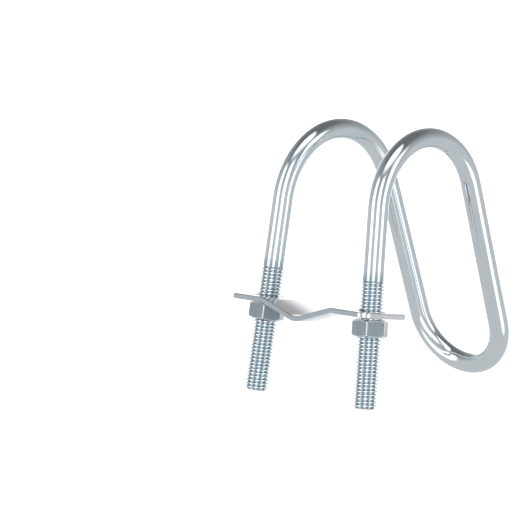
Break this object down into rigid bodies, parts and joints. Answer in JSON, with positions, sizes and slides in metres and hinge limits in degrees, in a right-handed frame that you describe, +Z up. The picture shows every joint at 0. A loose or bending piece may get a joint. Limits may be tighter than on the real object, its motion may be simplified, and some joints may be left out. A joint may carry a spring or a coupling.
{
  "type": "double hook bolt with saddle plate",
  "caption": "Zinc-plated round bar bent into a pair of linked hooks with threaded studs, a waved saddle plate across the studs and hexagon nuts under it.",
  "frame": {"origin": "mid-way between the studs, on the plane of the saddle plate's flat upper faces", "axes": "+X from the left stud to the right stud, +Y the way the hooks reach, +Z up the studs towards the hooks"},
  "size_m": [0.079, 0.1189, 0.1195],
  "materials": {
    "plated_bar": "bright zinc plate",
    "plated_plate": "bright zinc plate",
    "plated_nut": "bright zinc plate"
  },
  "bodies": {
    "hook_bar": {"hook_bar": "plated_bar"},
    "saddle_plate": {"saddle_plate": "plated_plate"},
    "left_nut": {"left_nut": "plated_nut"},
    "right_nut": {"right_nut": "plated_nut"}
  },
  "joints": [
    {"name": "plate_slide", "type": "slide", "parent": "hook_bar", "child": "saddle_plate", "axis": [0, 0, 1], "range_m": [-0.006, 0.006]},
    {"name": "left_nut_spin", "type": "hinge", "parent": "saddle_plate", "child": "left_nut", "pos_m": [-0.02994, 0, -0.0027], "axis": [0.0506, 0, 0.9987], "range_deg": [-1440, 1440]},
    {"name": "right_nut_spin", "type": "hinge", "parent": "saddle_plate", "child": "right_nut", "pos_m": [0.02997, 0, -0.0034], "axis": [-0.0506, 0, 0.9987], "range_deg": [-1440, 1440]}
  ],
  "couplings": [
    {"joint": "left_nut_spin", "follows": "plate_slide", "rad_per_m": 4188.8},
    {"joint": "right_nut_spin", "follows": "plate_slide", "rad_per_m": 4188.8}
  ]
}
